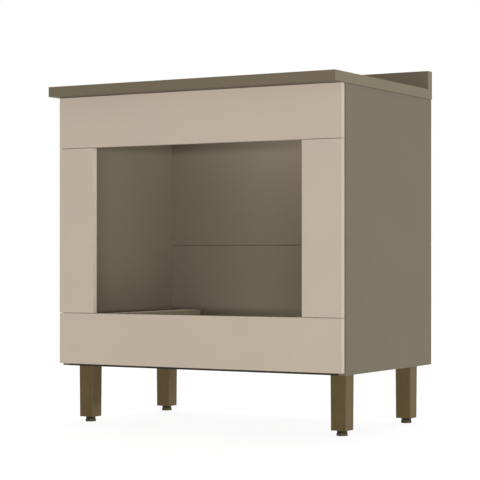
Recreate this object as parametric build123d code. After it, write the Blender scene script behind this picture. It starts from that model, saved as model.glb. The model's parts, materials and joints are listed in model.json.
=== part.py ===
from build123d import *
import math
import os

# Oven base cabinet of flat boards: a carcass on four legs with levelling feet, a front frame of four
# fixed boards round an open oven niche, and a worktop with an upstand along its rear edge.
# Millimetres. +X is to the right seen from the front, -Y is the front, +Z is up.
# The origin is on the floor, under the middle of the whole cabinet.

# Front frame, whose opening takes the oven
niche_width = 590.0
niche_height = 415.4
stile_width = 103.5
top_rail_height = 127.6
bottom_rail_height = 127.2
front_thickness = 15.0
frame_joint_gap = 1.0
front_gap = 3.0
front_side_inset = 1.5
front_bottom_inset = 6.0
front_top_gap = 0.5

# Carcass
side_depth = 489.0
side_thickness = 18.0
base_thickness = 15.0
stretcher_thickness = 15.0
stretcher_width = 80.0
arris_radius = 0.3

# Back, in two sheets
back_thickness = 3.0
back_edge_inset = 0.5
lower_back_height = 305.0
back_seam_gap = 2.0
tape_width = 40.0
tape_thickness = 0.4
tape_end_inset = 15.0

# Worktop and upstand
worktop_thickness = 25.0
worktop_side_overhang = 3.0
worktop_front_overhang = 41.0
upstand_thickness = 25.0
upstand_height = 46.3
worktop_arris_radius = 0.4

# Oven rests, one at each side of the niche, each on an upright under its inner edge
rest_lap = 5.5
rest_width = 50.0
rest_thickness = 15.0
rest_back_space = 64.0
rest_drop = 1.0
upright_thickness = 15.0

# Legs
leg_height = 132.7
leg_top_width = 41.8
leg_bottom_width = 40.0
leg_corner_radius = 2.0
leg_inner_corner_radius = 0.5
leg_wall = 2.5
leg_floor = 16.0
leg_side_inset = 40.5
leg_end_inset = 63.0

# Leg plates, which are screwed up into the base and hold the hollow legs
plate_fit = 0.1
plate_thickness = 3.0
plate_height = 12.0
plate_wall = 2.0
plate_corner_radius = 1.5
plate_screw_offset = 11.0

# Levelling feet: a pad on the floor, and a stud with a hexagonal collar that turns in it
foot_gap = 0.3
pad_radius = 13.4
pad_top_radius = 12.8
pad_height = 8.0
pad_shoulder_height = 5.0
pad_lip = 0.5
pad_floor = 3.0
collar_height = 4.4
collar_across_flats = 22.0
collar_corner_chamfer = 0.5
collar_rest_angle = 15.0
stud_radius = 4.0
stud_length = 45.0
stud_chamfer = 0.6
stud_fit = 0.05
insert_radius = 6.0
insert_length = 12.0
insert_flange_radius = 8.0
insert_flange_height = 1.5

# Dowels and cam fittings
dowel_radius = 4.0
dowel_length = 30.0
dowel_bite = 12.0
dowel_chamfer = 0.6
base_dowel_end_inset = 32.0
stretcher_dowel_offset = -22.0
cam_radius = 7.4
cam_cover = 2.7
cam_fit = 0.1
cam_setback = 24.0
cam_slot_length = 9.0
cam_slot_width = 1.6
cam_slot_depth = 1.4
base_cam_end_inset = 130.0
stretcher_cam_offset = 14.0
bolt_bite = 11.0
bolt_thread_radius = 2.5
bolt_shaft_radius = 3.0
bolt_neck_radius = 2.0
bolt_neck_length = 5.0
bolt_head_radius = 3.4
bolt_head_length = 3.0
bolt_fit = 0.2

# Screws
screw_radius = 1.75
screw_head_radius = 3.3
screw_head_height = 2.0
screw_point_length = 3.0
pan_head_height = 1.9
pan_head_dome = 0.6
long_screw_radius = 2.0
long_screw_head_radius = 4.0
long_screw_head_height = 2.6
recess_width = 0.9
recess_length = 3.6
recess_depth = 1.0
screw_cover = 3.0
worktop_screw_bite = 15.0
worktop_screw_count = 3
worktop_screw_end_inset = 82.0
upstand_screw_bite = 25.0
upstand_screw_count = 4
upstand_screw_end_inset = 73.0
rest_screw_bite = 25.0
rest_screw_count = 3
rest_screw_end_inset = 36.0
upright_screw_end_inset = 26.0
leg_screw_length = 8.0
leg_screw_drop = 6.0

# Angle brackets, joining plates and soft spacers behind the front frame
bracket_leg = 24.0
bracket_width = 16.0
bracket_thickness = 2.0
bracket_hole_distance = 16.0
bracket_screw_bite = 10.0
bracket_middle_offset = 140.0
stile_bracket_end_inset = 100.0
joining_plate_length = 80.0
joining_plate_width = 16.0
joining_plate_thickness = 1.5
joining_plate_near_hole = 14.0
joining_plate_far_hole = 30.0
spacer_radius = 4.0
spacer_end_inset = 60.0

# Nails that hold the back
nail_radius = 0.7
nail_length = 15.0
nail_point_length = 1.4
nail_head_radius = 1.6
nail_head_height = 0.5
nail_end_inset = 40.0
across_nail_count = 7
lower_back_nail_count = 3
upper_back_nail_count = 4

# Heights that follow from the sizes, from the floor up
pad_shelf_z = pad_height + foot_gap
collar_top_z = pad_shelf_z + collar_height
leg_bottom_z = collar_top_z + foot_gap
carcass_bottom_z = leg_bottom_z + leg_height
base_top_z = carcass_bottom_z + base_thickness
frame_bottom_z = carcass_bottom_z + front_bottom_inset
niche_bottom_z = frame_bottom_z + bottom_rail_height
niche_top_z = niche_bottom_z + niche_height
frame_top_z = niche_top_z + top_rail_height
carcass_top_z = frame_top_z + front_top_gap
stretcher_bottom_z = carcass_top_z - stretcher_thickness
worktop_top_z = carcass_top_z + worktop_thickness
upstand_top_z = worktop_top_z + upstand_height
rest_top_z = niche_bottom_z - rest_drop
rest_bottom_z = rest_top_z - rest_thickness
back_bottom_z = carcass_bottom_z + back_edge_inset
back_top_z = carcass_top_z - back_edge_inset
seam_bottom_z = back_bottom_z + lower_back_height
seam_top_z = seam_bottom_z + back_seam_gap

# Distances from the middle plane, the same on both sides
niche_side_x = niche_width / 2
frame_end_x = niche_side_x + stile_width
side_outer_x = frame_end_x + front_side_inset
side_inner_x = side_outer_x - side_thickness
side_middle_x = (side_outer_x + side_inner_x) / 2
worktop_end_x = side_outer_x + worktop_side_overhang
rest_outer_x = niche_side_x + rest_lap
rest_inner_x = rest_outer_x - rest_width
upright_middle_x = rest_inner_x + upright_thickness / 2
leg_x = side_outer_x - leg_side_inset

# Places from front to back
front_stack = worktop_front_overhang + front_thickness + front_gap
overall_depth = front_stack + side_depth + back_thickness + tape_thickness
worktop_front_y = -overall_depth / 2
frame_face_y = worktop_front_y + worktop_front_overhang
frame_back_y = frame_face_y + front_thickness
carcass_front_y = frame_back_y + front_gap
carcass_back_y = carcass_front_y + side_depth
back_rear_y = carcass_back_y + back_thickness
rest_back_y = carcass_back_y - rest_back_space
front_stretcher_y = carcass_front_y + stretcher_width / 2
rear_stretcher_y = carcass_back_y - stretcher_width / 2
upstand_middle_y = carcass_back_y - upstand_thickness / 2
front_leg_y = carcass_front_y + leg_end_inset
rear_leg_y = carcass_back_y - leg_end_inset

left = -1
right = 1
both_sides = (left, right)
corners = {
    "front_left": (-leg_x, front_leg_y),
    "front_right": (leg_x, front_leg_y),
    "rear_left": (-leg_x, rear_leg_y),
    "rear_right": (leg_x, rear_leg_y),
}

# Turns that point a fastener, which is drawn along +Z, the other ways
toward_left = Rot(0, -90, 0)
toward_right = Rot(0, 90, 0)
toward_front = Rot(90, 0, 0)
toward_floor = Rot(180, 0, 0)


def spread(low, high, count):
    """Evenly spaced places from low to high, both included."""
    if count < 2:
        return [(low + high) / 2]
    return [low + (high - low) * i / (count - 1) for i in range(count)]


def spread_across(reach, count):
    """Evenly spaced places on both sides of the middle plane, out to reach."""
    return spread(-reach, reach, count)


def block(x, y, z):
    """A sharp-edged block between two limits on each axis."""
    size = [abs(b - a) for a, b in (x, y, z)]
    middle = [(a + b) / 2 for a, b in (x, y, z)]
    return Pos(*middle) * Box(*size)


def board(x, y, z, radius):
    """A block with its edges eased."""
    thinnest = min(abs(b - a) for a, b in (x, y, z))
    solid = block(x, y, z)
    return fillet(solid.edges(), min(radius, thinnest / 3))


def turned(points):
    """A solid of revolution about Z from the (radius, height) points of its outline."""
    return revolve(Plane.XZ * make_face(Polyline(*points, close=True)), Axis.Z)


def cross_recess(head_face):
    """The cross that a driver turns, cut upwards from the head's face."""
    bar = Pos(0, 0, head_face + recess_depth / 2) * Box(recess_length, recess_width, recess_depth)
    return bar + Rot(0, 0, 90) * bar


def countersunk_screw(length, radius, head_radius, head_height):
    """Flat-headed wood screw along +Z from its head's face at 0, and its recess."""
    screw = turned([
        (0, 0), (head_radius, 0), (radius, head_height), (radius, length - screw_point_length), (0, length),
    ])
    return screw, cross_recess(0)


def short_screw(length):
    return countersunk_screw(length, screw_radius, screw_head_radius, screw_head_height)


def long_screw(length):
    return countersunk_screw(length, long_screw_radius, long_screw_head_radius, long_screw_head_height)


def pan_screw(length):
    """Pan-headed wood screw along +Z with its head below 0, and its recess."""
    screw = turned([
        (0, -pan_head_height), (screw_head_radius - pan_head_dome, -pan_head_height),
        (screw_head_radius, -pan_head_height + pan_head_dome), (screw_head_radius, 0),
        (screw_radius, 0), (screw_radius, length - screw_point_length), (0, length),
    ])
    return screw, cross_recess(-pan_head_height)


class Fasteners:
    """Like fasteners in their places, and the holes that they fill."""

    def __init__(self, places, solid, recess=None):
        self.holes = [place * solid for place in places]
        finished = solid - recess if recess else solid
        self.solids = [place * finished for place in places]

    def node(self):
        return group(self.solids)


def group(solids):
    """Separate like solids that share one node."""
    return Compound(children=list(solids))


def drilled(solid, *fasteners):
    """The solid with the holes that its fasteners fill."""
    holes = [hole for each in fasteners for hole in each.holes]
    return solid - holes


# Dowels and cam fittings, at the ends of the base and of both stretchers

def make_dowels():
    dowel = Cylinder(dowel_radius, dowel_length)
    dowel = toward_right * chamfer(dowel.edges().filter_by(GeomType.CIRCLE), dowel_chamfer)
    x = side_inner_x + dowel_bite - dowel_length / 2
    base_z = carcass_bottom_z + base_thickness / 2
    stretcher_z = carcass_top_z - stretcher_thickness / 2
    spots = [
        (carcass_front_y + base_dowel_end_inset, base_z),
        (carcass_back_y - base_dowel_end_inset, base_z),
        (front_stretcher_y + stretcher_dowel_offset, stretcher_z),
        (rear_stretcher_y + stretcher_dowel_offset, stretcher_z),
    ]
    return Fasteners([Pos(side * x, y, z) for side in both_sides for y, z in spots], dowel)


class CamFittings:
    """Cams up into the boards' undersides, and the bolts from the sides that they draw in."""

    def __init__(self):
        base_ys = (carcass_front_y + base_cam_end_inset, carcass_back_y - base_cam_end_inset)
        stretcher_ys = (front_stretcher_y + stretcher_cam_offset, rear_stretcher_y + stretcher_cam_offset)
        self.cams = []
        self.bolts = []
        self.cam_holes = []
        self.bolt_holes = []
        for side in both_sides:
            self.add(side, base_ys, carcass_bottom_z, base_thickness)
            self.add(side, stretcher_ys, stretcher_bottom_z, stretcher_thickness)

    def add(self, side, ys, underside, thickness):
        """Fittings at one end of one board, or of two in line."""
        height = thickness - cam_cover
        slot = Pos(0, 0, cam_slot_depth / 2) * Box(cam_slot_length, cam_slot_width, cam_slot_depth)
        turn = toward_left if side == right else toward_right
        reach = cam_setback + bolt_head_length
        way = Pos(0, 0, reach / 2) * Cylinder(bolt_head_radius + bolt_fit, reach)
        for y in ys:
            cam_place = Pos(side * (side_inner_x - cam_setback), y, underside)
            bolt_place = Pos(side * side_inner_x, y, underside + thickness / 2) * turn
            cam = cam_place * (cylinder_up(cam_radius, height) - slot - Rot(0, 0, 90) * slot)
            self.cams.append(cam - bolt_place * way)
            self.bolts.append(bolt_place * cam_bolt())
            self.cam_holes.append(cam_place * cylinder_up(cam_radius + cam_fit, height))
            self.bolt_holes.append(bolt_place * way)


def cylinder_up(radius, height):
    """A cylinder that stands on the plane at 0."""
    return Pos(0, 0, height / 2) * Cylinder(radius, height)


def cam_bolt():
    """Bolt along +Z from its threaded end in the side, at 0, to its head in the cam."""
    shaft_end = cam_setback - bolt_neck_length
    head_end = cam_setback + bolt_head_length / 2
    head_start = head_end - bolt_head_length
    return turned([
        (0, -bolt_bite), (bolt_thread_radius, -bolt_bite), (bolt_thread_radius, 0), (bolt_shaft_radius, 0),
        (bolt_shaft_radius, shaft_end), (bolt_neck_radius, shaft_end), (bolt_neck_radius, head_start),
        (bolt_head_radius, head_start), (bolt_head_radius, head_end), (0, head_end),
    ])


# Screws

def make_worktop_screws():
    """Up through both stretchers into the worktop."""
    xs = spread_across(side_inner_x - worktop_screw_end_inset, worktop_screw_count)
    ys = (front_stretcher_y, rear_stretcher_y)
    places = [Pos(x, y, stretcher_bottom_z) for y in ys for x in xs]
    return Fasteners(places, *long_screw(stretcher_thickness + worktop_screw_bite))


def make_upstand_screws():
    """Up through the worktop into the upstand."""
    xs = spread_across(worktop_end_x - upstand_screw_end_inset, upstand_screw_count)
    places = [Pos(x, upstand_middle_y, carcass_top_z) for x in xs]
    return Fasteners(places, *long_screw(worktop_thickness + upstand_screw_bite))


def make_rest_screws():
    """Down through each oven rest into its upright."""
    ys = spread(carcass_front_y + rest_screw_end_inset, rest_back_y - rest_screw_end_inset, rest_screw_count)
    places = [Pos(side * upright_middle_x, y, rest_top_z) * toward_floor for side in both_sides for y in ys]
    return Fasteners(places, *long_screw(rest_thickness + rest_screw_bite))


def make_upright_screws():
    """Up through the base into each upright."""
    inset = upright_screw_end_inset
    ys = spread(carcass_front_y + inset, rest_back_y - inset, rest_screw_count)
    places = [Pos(side * upright_middle_x, y, carcass_bottom_z) for side in both_sides for y in ys]
    return Fasteners(places, *long_screw(base_thickness + rest_screw_bite))


def make_leg_plate_screws():
    """Four up through each leg plate into the base."""
    offsets = [(i * plate_screw_offset, j * plate_screw_offset) for i in (-1, 1) for j in (-1, 1)]
    z = carcass_bottom_z - plate_thickness
    places = [Pos(x + dx, y + dy, z) for x, y in corners.values() for dx, dy in offsets]
    return Fasteners(places, *short_screw(plate_thickness + base_thickness - screw_cover))


def make_leg_screws():
    """One through each leg's rear face into the skirt of its plate."""
    rear_face = leg_width_at(leg_height - leg_screw_drop) / 2
    z = carcass_bottom_z - leg_screw_drop
    places = [Pos(x, y + rear_face, z) * toward_front for x, y in corners.values()]
    return Fasteners(places, *short_screw(leg_screw_length))


def bracket_places():
    """The inner corner of each angle bracket, between the frame's back and a carcass board."""
    rail_zs = [(frame_bottom_z + niche_bottom_z) / 2, (niche_top_z + frame_top_z) / 2]
    stile_zs = [niche_bottom_z + stile_bracket_end_inset, niche_top_z - stile_bracket_end_inset]
    places = []
    for z in rail_zs + stile_zs:
        places.append(Pos(-side_inner_x, frame_back_y, z))
        places.append(Pos(side_inner_x, frame_back_y, z) * Rot(0, 180, 0))
    for side in both_sides:
        x = side * bracket_middle_offset
        places.append(Pos(x, frame_back_y, base_top_z) * Rot(0, -90, 0))
        places.append(Pos(x, frame_back_y, stretcher_bottom_z) * Rot(0, 90, 0))
    return places


def make_bracket_screws():
    """Two in each angle bracket, one into the frame and one into the carcass."""
    into_frame = Pos(bracket_hole_distance, bracket_thickness, 0) * toward_front
    into_carcass = Pos(bracket_thickness, bracket_hole_distance, 0) * toward_left
    places = [place * hole for place in bracket_places() for hole in (into_frame, into_carcass)]
    return Fasteners(places, *pan_screw(bracket_thickness + bracket_screw_bite))


def joining_plate_places():
    """The middle of each flat plate, across a joint between a rail and a stile."""
    x = (frame_end_x + niche_side_x) / 2
    zs = (niche_bottom_z + frame_joint_gap / 2, niche_top_z - frame_joint_gap / 2)
    return [Pos(side * x, frame_back_y + joining_plate_thickness, z) for side in both_sides for z in zs]


def make_joining_plate_screws():
    steps = [i * step for i in (-1, 1) for step in (joining_plate_near_hole, joining_plate_far_hole)]
    places = [place * Pos(0, 0, step) * toward_front for place in joining_plate_places() for step in steps]
    return Fasteners(places, *pan_screw(joining_plate_thickness + bracket_screw_bite))


def make_back_nails():
    """Through the back into the sides, the base and the rear stretcher."""
    nail = turned([
        (0, 0), (nail_head_radius, 0), (nail_head_radius, nail_head_height), (nail_radius, nail_head_height),
        (nail_radius, nail_length - nail_point_length), (0, nail_length),
    ])
    inset = nail_end_inset
    up = spread(back_bottom_z + inset, seam_bottom_z - inset, lower_back_nail_count)
    up += spread(seam_top_z + inset, back_top_z - inset, upper_back_nail_count)
    row_xs = spread_across(side_inner_x - inset, across_nail_count)
    row_zs = (carcass_bottom_z + base_thickness / 2, carcass_top_z - stretcher_thickness / 2)
    spots = [(side * side_middle_x, z) for side in both_sides for z in up]
    spots += [(x, z) for z in row_zs for x in row_xs]
    return Fasteners([Pos(x, back_rear_y, z) * toward_front for x, z in spots], nail)


# Brackets, plates and spacers behind the front frame

def make_front_brackets(screws):
    on_frame = block((0, bracket_leg), (0, bracket_thickness), (-bracket_width / 2, bracket_width / 2))
    on_carcass = block((0, bracket_thickness), (0, bracket_leg), (-bracket_width / 2, bracket_width / 2))
    angle = on_frame + on_carcass
    pairs = zip(screws.holes[::2], screws.holes[1::2])
    return group(place * angle - list(pair) for place, pair in zip(bracket_places(), pairs))


def make_joining_plates(screws):
    half_width = joining_plate_width / 2
    half_length = joining_plate_length / 2
    plate = block((-half_width, half_width), (-joining_plate_thickness, 0), (-half_length, half_length))
    return group(drilled(place * plate, screws) for place in joining_plate_places())


def make_front_spacers():
    """Soft pads that hold the frame off the sides' front edges."""
    pad = toward_front * Cylinder(spacer_radius, front_gap)
    y = (frame_back_y + carcass_front_y) / 2
    zs = [
        frame_bottom_z + spacer_end_inset, niche_bottom_z + spacer_end_inset,
        niche_top_z - spacer_end_inset, frame_top_z - spacer_end_inset,
    ]
    return group(Pos(side * side_middle_x, y, z) * pad for side in both_sides for z in zs)


# Boards

def make_side_panel(side):
    return board(
        (side * side_inner_x, side * side_outer_x), (carcass_front_y, carcass_back_y),
        (carcass_bottom_z, carcass_top_z), arris_radius)


def make_base_panel():
    return board(
        (-side_inner_x, side_inner_x), (carcass_front_y, carcass_back_y), (carcass_bottom_z, base_top_z),
        arris_radius)


def make_stretcher(middle_y):
    return board(
        (-side_inner_x, side_inner_x), (middle_y - stretcher_width / 2, middle_y + stretcher_width / 2),
        (stretcher_bottom_z, carcass_top_z), arris_radius)


def make_back_panel(bottom_z, top_z):
    x = side_outer_x - back_edge_inset
    return block((-x, x), (carcass_back_y, back_rear_y), (bottom_z, top_z))


def make_seam_tape():
    """Tape behind the seam of the back's two sheets."""
    x = side_outer_x - tape_end_inset
    middle = (seam_bottom_z + seam_top_z) / 2
    z = (middle - tape_width / 2, middle + tape_width / 2)
    return block((-x, x), (back_rear_y, back_rear_y + tape_thickness), z)


def make_worktop():
    return board(
        (-worktop_end_x, worktop_end_x), (worktop_front_y, carcass_back_y), (carcass_top_z, worktop_top_z),
        worktop_arris_radius)


def make_upstand():
    return board(
        (-worktop_end_x, worktop_end_x), (carcass_back_y - upstand_thickness, carcass_back_y),
        (worktop_top_z, upstand_top_z), worktop_arris_radius)


def make_rail(bottom_z, top_z):
    return board((-frame_end_x, frame_end_x), (frame_face_y, frame_back_y), (bottom_z, top_z), arris_radius)


def make_stile(side):
    return board(
        (side * niche_side_x, side * frame_end_x), (frame_face_y, frame_back_y),
        (niche_bottom_z + frame_joint_gap, niche_top_z - frame_joint_gap), arris_radius)


def make_oven_rest(side):
    x = (side * rest_inner_x, side * rest_outer_x)
    return board(x, (carcass_front_y, rest_back_y), (rest_bottom_z, rest_top_z), arris_radius)


def make_rest_upright(side):
    x = (side * rest_inner_x, side * (rest_inner_x + upright_thickness))
    return board(x, (carcass_front_y, rest_back_y), (base_top_z, rest_bottom_z), arris_radius)


# Legs and levelling feet, drawn on the Z axis at their own heights

def leg_width_at(height):
    """Outer width of the tapered leg at a height above its bottom."""
    return leg_bottom_width + (leg_top_width - leg_bottom_width) * height / leg_height


def leg_form(low, high, inset, radius):
    """The leg's tapered form between two heights, taken in by inset."""
    sections = []
    for height in (low, high):
        width = leg_width_at(height) - 2 * inset
        sections.append(Pos(0, 0, leg_bottom_z + height) * RectangleRounded(width, width, radius))
    return loft(sections)


def insert_form():
    """The threaded insert's outside, its flange flush with the leg's bottom."""
    sleeve = cylinder_up(insert_radius, insert_length)
    flange = cylinder_up(insert_flange_radius, insert_flange_height)
    return Pos(0, 0, leg_bottom_z) * (sleeve + flange)


def make_leg():
    """Hollow leg with a thick floor that takes the threaded insert."""
    outside = leg_form(0, leg_height, 0, leg_corner_radius)
    hollow = leg_form(leg_floor, leg_height, leg_wall, leg_inner_corner_radius)
    bore = Pos(0, 0, leg_bottom_z) * cylinder_up(insert_radius, leg_floor)
    return outside - hollow - bore - insert_form()


def make_insert():
    return insert_form() - Pos(0, 0, leg_bottom_z) * cylinder_up(stud_radius + stud_fit, insert_length)


def make_leg_plate():
    """Plate under the base, with a skirt that the leg slides over."""
    outer = leg_width_at(leg_height - plate_height) - 2 * leg_wall - 2 * plate_fit
    inner = outer - 2 * plate_wall
    skirt = extrude(RectangleRounded(outer, outer, plate_corner_radius), -plate_height)
    hollow_height = plate_height - plate_thickness
    hollow = Pos(0, 0, -plate_thickness) * extrude(Rectangle(inner, inner), -hollow_height)
    return Pos(0, 0, carcass_bottom_z) * (skirt - hollow)


def make_stud():
    stud = chamfer(cylinder_up(stud_radius, stud_length).edges().filter_by(GeomType.CIRCLE), stud_chamfer)
    return Pos(0, 0, pad_floor) * stud


def make_collar():
    """Hexagon on the stud for a spanner, with its corners turned down."""
    corner_radius = collar_across_flats / 2 / math.cos(math.pi / 6)
    hexagon = Rot(0, 0, collar_rest_angle) * extrude(RegularPolygon(corner_radius, 6), collar_height)
    slope = 2 * collar_corner_chamfer
    turning = turned([
        (0, 0), (corner_radius - slope, 0), (corner_radius, collar_corner_chamfer),
        (corner_radius, collar_height - collar_corner_chamfer), (corner_radius - slope, collar_height),
        (0, collar_height),
    ])
    return Pos(0, 0, pad_shelf_z) * ((hexagon & turning) - cylinder_up(stud_radius, collar_height))


def make_pad():
    """Round pad that stands on the floor, with a socket for the stud's end."""
    pad = turned([
        (0, 0), (pad_radius - pad_lip, 0), (pad_radius, pad_lip), (pad_radius, pad_shoulder_height),
        (pad_top_radius, pad_height - pad_lip), (pad_top_radius, pad_height), (0, pad_height),
    ])
    socket_floor = pad_floor - stud_fit
    socket = Pos(0, 0, socket_floor) * cylinder_up(stud_radius + stud_fit, pad_height - socket_floor)
    return pad - socket


def make_leg_nodes(plate_screws, leg_screws):
    """Leg, plate, threaded insert and the foot's three pieces at each corner."""
    leg = make_leg()
    plate = make_leg_plate()
    insert = make_insert()
    pad = make_pad()
    collar = make_collar()
    stud = make_stud()
    nodes = {}
    for corner, (x, y) in corners.items():
        place = Pos(x, y, 0)
        nodes[f"{corner}_leg"] = drilled(place * leg, leg_screws)
        nodes[f"{corner}_leg_plate"] = drilled(place * plate, plate_screws, leg_screws)
        nodes[f"{corner}_threaded_insert"] = place * insert
        nodes[f"{corner}_foot_pad"] = place * pad
        nodes[f"{corner}_foot_collar"] = place * collar
        nodes[f"{corner}_foot_stud"] = place * stud
    return nodes


def build():
    """Every node of the cabinet by name."""
    dowels = make_dowels()
    cams = CamFittings()
    worktop_screws = make_worktop_screws()
    upstand_screws = make_upstand_screws()
    rest_screws = make_rest_screws()
    upright_screws = make_upright_screws()
    plate_screws = make_leg_plate_screws()
    leg_screws = make_leg_screws()
    bracket_screws = make_bracket_screws()
    joining_screws = make_joining_plate_screws()
    nails = make_back_nails()

    left_side = drilled(make_side_panel(left), dowels, bracket_screws, nails)
    right_side = drilled(make_side_panel(right), dowels, bracket_screws, nails)
    base = drilled(make_base_panel(), dowels, bracket_screws, nails, upright_screws, plate_screws)
    front_stretcher = drilled(make_stretcher(front_stretcher_y), dowels, bracket_screws, worktop_screws)
    rear_stretcher = drilled(make_stretcher(rear_stretcher_y), dowels, nails, worktop_screws)

    nodes = {
        "left_side_panel": left_side - cams.bolts,
        "right_side_panel": right_side - cams.bolts,
        "base_panel": base - cams.cam_holes - cams.bolt_holes,
        "front_stretcher": front_stretcher - cams.cam_holes - cams.bolt_holes,
        "rear_stretcher": rear_stretcher - cams.cam_holes - cams.bolt_holes,
        "lower_back_panel": drilled(make_back_panel(back_bottom_z, seam_bottom_z), nails),
        "upper_back_panel": drilled(make_back_panel(seam_top_z, back_top_z), nails),
        "back_seam_tape": make_seam_tape(),
        "worktop": drilled(make_worktop(), worktop_screws, upstand_screws),
        "upstand": drilled(make_upstand(), upstand_screws),
        "bottom_rail": drilled(make_rail(frame_bottom_z, niche_bottom_z), bracket_screws, joining_screws),
        "top_rail": drilled(make_rail(niche_top_z, frame_top_z), bracket_screws, joining_screws),
        "left_stile": drilled(make_stile(left), bracket_screws, joining_screws),
        "right_stile": drilled(make_stile(right), bracket_screws, joining_screws),
        "left_oven_rest": drilled(make_oven_rest(left), rest_screws),
        "right_oven_rest": drilled(make_oven_rest(right), rest_screws),
        "left_rest_upright": drilled(make_rest_upright(left), rest_screws, upright_screws),
        "right_rest_upright": drilled(make_rest_upright(right), rest_screws, upright_screws),
        "dowels": dowels.node(),
        "cam_locks": group(cams.cams),
        "cam_bolts": group(cams.bolts),
        "worktop_screws": worktop_screws.node(),
        "upstand_screws": upstand_screws.node(),
        "oven_rest_screws": rest_screws.node(),
        "rest_upright_screws": upright_screws.node(),
        "leg_plate_screws": plate_screws.node(),
        "leg_screws": leg_screws.node(),
        "front_brackets": make_front_brackets(bracket_screws),
        "bracket_screws": bracket_screws.node(),
        "joining_plates": make_joining_plates(joining_screws),
        "joining_plate_screws": joining_screws.node(),
        "front_spacers": make_front_spacers(),
        "back_nails": nails.node(),
    }
    nodes.update(make_leg_nodes(plate_screws, leg_screws))
    return nodes


os.makedirs("parts", exist_ok=True)
for name, shape in build().items():
    export_step(shape, f"parts/{name}.step")
    print(name, len(shape.solids()))
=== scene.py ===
import json
import math

import bmesh
import bpy
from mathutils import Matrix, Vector


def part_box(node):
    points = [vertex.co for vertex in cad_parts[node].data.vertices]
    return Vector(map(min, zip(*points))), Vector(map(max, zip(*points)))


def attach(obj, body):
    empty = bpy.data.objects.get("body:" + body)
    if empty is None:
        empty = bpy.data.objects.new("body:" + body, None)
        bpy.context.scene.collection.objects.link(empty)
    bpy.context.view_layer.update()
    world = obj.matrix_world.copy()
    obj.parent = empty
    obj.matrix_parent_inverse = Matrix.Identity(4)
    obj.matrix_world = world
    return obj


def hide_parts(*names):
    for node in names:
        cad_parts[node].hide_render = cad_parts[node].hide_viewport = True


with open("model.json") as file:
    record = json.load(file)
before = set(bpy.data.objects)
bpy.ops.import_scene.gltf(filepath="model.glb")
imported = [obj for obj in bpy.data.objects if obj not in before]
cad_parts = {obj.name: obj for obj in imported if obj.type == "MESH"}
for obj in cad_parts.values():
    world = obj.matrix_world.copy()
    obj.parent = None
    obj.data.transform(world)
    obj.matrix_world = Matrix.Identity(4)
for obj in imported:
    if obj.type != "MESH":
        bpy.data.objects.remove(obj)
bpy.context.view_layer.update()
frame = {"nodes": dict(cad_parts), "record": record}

# Oven base cabinet: taupe carcass, beige front frame round an open niche, worktop with an upstand,
# four moulded legs with levelling feet. Sizes are in metres, and the finishes' patterns in millimetres.

scene = bpy.context.scene
nodes = frame["nodes"]
bodies = frame["record"]["behaviour"]["bodies"]
bodyOfNode = {node: body for body, members in bodies.items() for node in members}
slotOfNode = {part["node"]: part["material_slot"] for part in frame["record"]["subparts"]}
corners = ("front_left", "front_right", "rear_left", "rear_right")
mm = 0.001
weldDistance = 0.001 * mm
noiseRange = (0.3, 0.7)     # a noise texture's values lie mostly between these


def linearColour(hexColour):
    channels = [int(hexColour[i:i + 2], 16) / 255 for i in (1, 3, 5)]
    return tuple(c / 12.92 if c <= 0.04045 else ((c + 0.055) / 1.055) ** 2.4 for c in channels) + (1,)


def addNode(tree, kind, inputs=None, **settings):
    # inputs holds plain values, sockets to link from, or a list of such sockets; gives the node's outputs
    node = tree.nodes.new(kind)
    for name, value in settings.items():
        setattr(node, name, value)
    for name, value in (inputs or {}).items():
        for source in value if isinstance(value, list) else [value]:
            if isinstance(source, bpy.types.NodeSocket):
                tree.links.new(source, node.inputs[name])
            else:
                node.inputs[name].default_value = source
    return node.outputs


# Materials

def perMetre(size):
    # a texture's scale, from its pattern's real size in millimetres
    return 1000 / size


def fromTo(given=(0, 1), wanted=(0, 1)):
    # what a Map Range node takes, and what it makes of it
    return {"From Min": given[0], "From Max": given[1], "To Min": wanted[0], "To Max": wanted[1]}


def newMaterial(name):
    material = bpy.data.materials.new(name)
    material.use_nodes = True
    material.node_tree.nodes.clear()
    return material, material.node_tree


def addSurface(tree, height, depth, inputs, strength=1):
    # every finish ends in a shader over a relief whose depth is in millimetres
    relief = addNode(tree, "ShaderNodeBump", {
        "Height": height, "Distance": depth * mm, "Strength": strength})["Normal"]
    shader = addNode(tree, "ShaderNodeBsdfPrincipled", {"Normal": relief, **inputs})["BSDF"]
    addNode(tree, "ShaderNodeOutputMaterial", {"Surface": shader})


# The press plate's pearl is finer than 0.3 mm, and is drawn coarser so that it shows.
taupeLook = {
    "dark": "#6D6555", "light": "#6F6757", "cloudSize": 180, "cloudSpread": (0.35, 0.65),
    "fleck": "#615A4B", "fleckSize": 1.6, "fleckSpread": (0.55, 0.75), "fleckAmount": 0.08,
    "roughness": (0.48, 0.54), "glossSize": 45, "pearlSize": 0.8, "pearlDepth": 0.012,
    "ior": 1.5, "shine": 0.1,
}
beigeLook = dict(taupeLook, dark="#C6B8A7", light="#C8BAA8", fleck="#B9AA9B")
# Edge tape is extruded: a little glossier than the pressed face, with a slight ripple and no pearl.
tapeSkin = {"roughness": (0.38, 0.44), "pearlSize": 2.5, "pearlDepth": 0.01, "fleckAmount": 0.05}
taupeTapeLook = dict(taupeLook, dark="#746A57", light="#766C58", **tapeSkin)
beigeTapeLook = dict(beigeLook, dark="#BEB1A0", light="#C0B3A3", **tapeSkin)
# The thin line under the frame is shade, far darker than the sides; the base panel's edge tape is painted
# dark with it.
shadeDarkTapeLook = dict(taupeTapeLook, dark="#332E25", light="#353027", fleck="#2D2821")


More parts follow.
